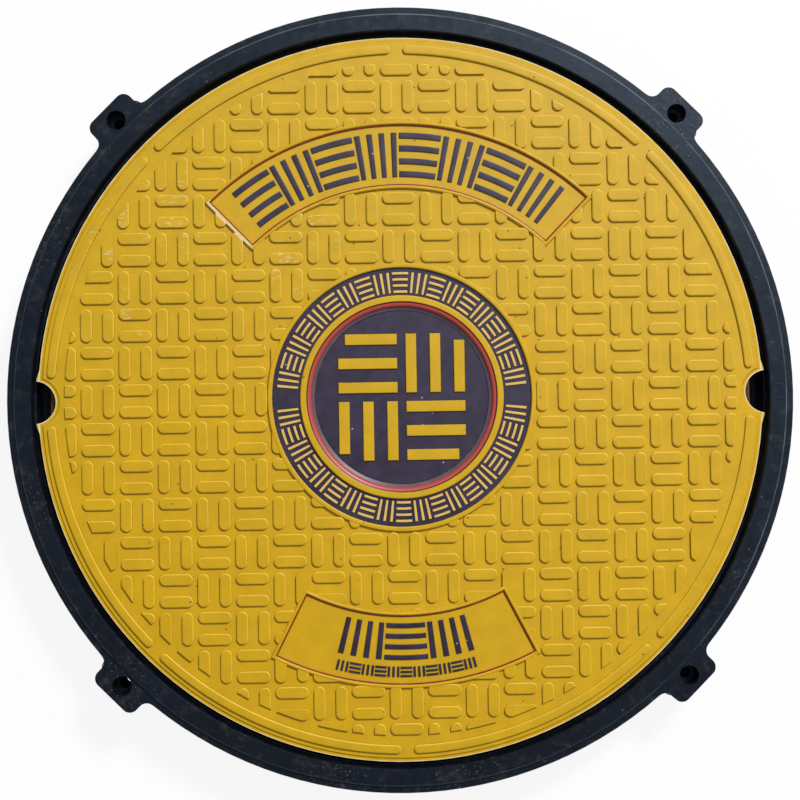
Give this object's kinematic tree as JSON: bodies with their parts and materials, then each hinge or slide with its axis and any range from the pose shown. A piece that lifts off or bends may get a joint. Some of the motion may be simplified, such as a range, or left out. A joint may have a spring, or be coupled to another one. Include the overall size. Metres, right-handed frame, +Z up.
{
  "type": "manhole cover",
  "caption": "Round moulded manhole cover with a basketweave tread, resting on a gasket in a ring frame with bolting lugs.",
  "frame": {"origin": "centre of the frame's base", "axes": "+Z up through the middle of the cover, +Y towards the longer plate, +X through a lifting notch"},
  "size_m": [0.6512, 0.6512, 0.0604],
  "materials": {
    "frame_plastic": "moulded, slightly glossy, scuffed",
    "cover_paint": "satin yellow",
    "field_paint": "dark satin paint",
    "line_paint": "red satin paint",
    "gasket_rubber": "matt"
  },
  "bodies": {
    "root": {"frame": "frame_plastic", "cover": "cover_paint", "seat_gasket": "gasket_rubber"}
  },
  "joints": []
}
